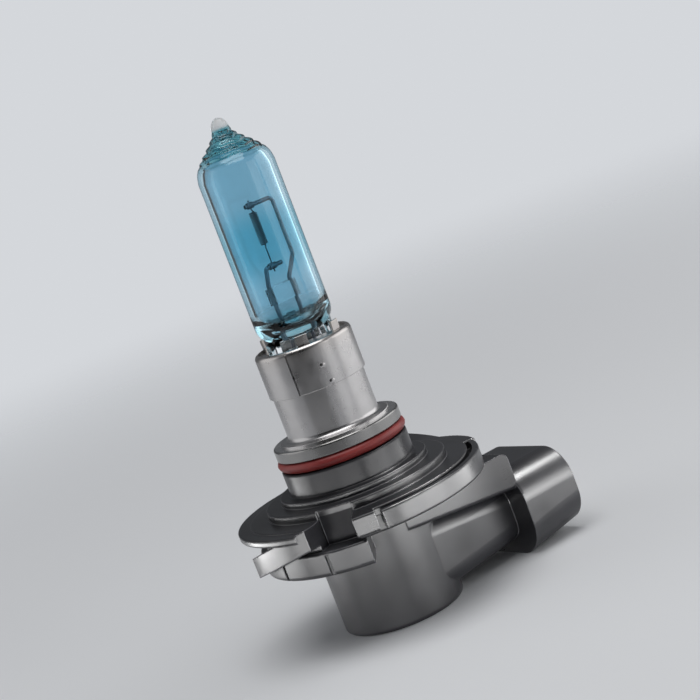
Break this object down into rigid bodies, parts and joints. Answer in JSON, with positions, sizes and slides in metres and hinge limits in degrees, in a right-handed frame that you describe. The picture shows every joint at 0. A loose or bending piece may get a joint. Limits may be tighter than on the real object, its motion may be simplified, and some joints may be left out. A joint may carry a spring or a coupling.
{
  "type": "headlight bulb",
  "caption": "Halogen capsule lamp with a blue-tinted tube, a metal holder, a sealed bayonet base and a right-angle connector shroud.",
  "frame": {"origin": "on the lamp axis at the reference plane, the front face of the mounting ring", "axes": "+Z along the lamp axis towards the tip of the glass, +X towards the mouth of the connector"},
  "size_m": [0.049, 0.0381, 0.0786],
  "materials": {
    "tinted_quartz": "clear, with a blue interference coating",
    "clear_quartz": "clear",
    "tungsten": "drawn wire",
    "molybdenum": "drawn wire and foil",
    "nickel_steel": "nickel plated, satin",
    "bright_steel": "nickel plated, bright",
    "red_silicone": "smooth",
    "black_plastic": "moulded, satin",
    "sealing_compound": "cured silicone",
    "tinned_brass": "tinned"
  },
  "bodies": {
    "root": {"glass_envelope": "tinted_quartz", "filament": "tungsten", "long_lead_wire": "molybdenum", "short_lead_wire": "molybdenum", "quartz_bridge": "clear_quartz", "foil_long_side": "molybdenum", "foil_short_side": "molybdenum", "outer_lead_long_side": "molybdenum", "outer_lead_short_side": "molybdenum", "pinch_clip": "nickel_steel", "clamp_sleeve": "nickel_steel", "base_sleeve": "nickel_steel", "mounting_ring": "bright_steel", "o_ring": "red_silicone", "base_housing": "black_plastic", "terminal_seal": "sealing_compound", "contact_terminal_a": "tinned_brass", "contact_terminal_b": "tinned_brass", "rear_cover": "black_plastic"}
  },
  "joints": []
}
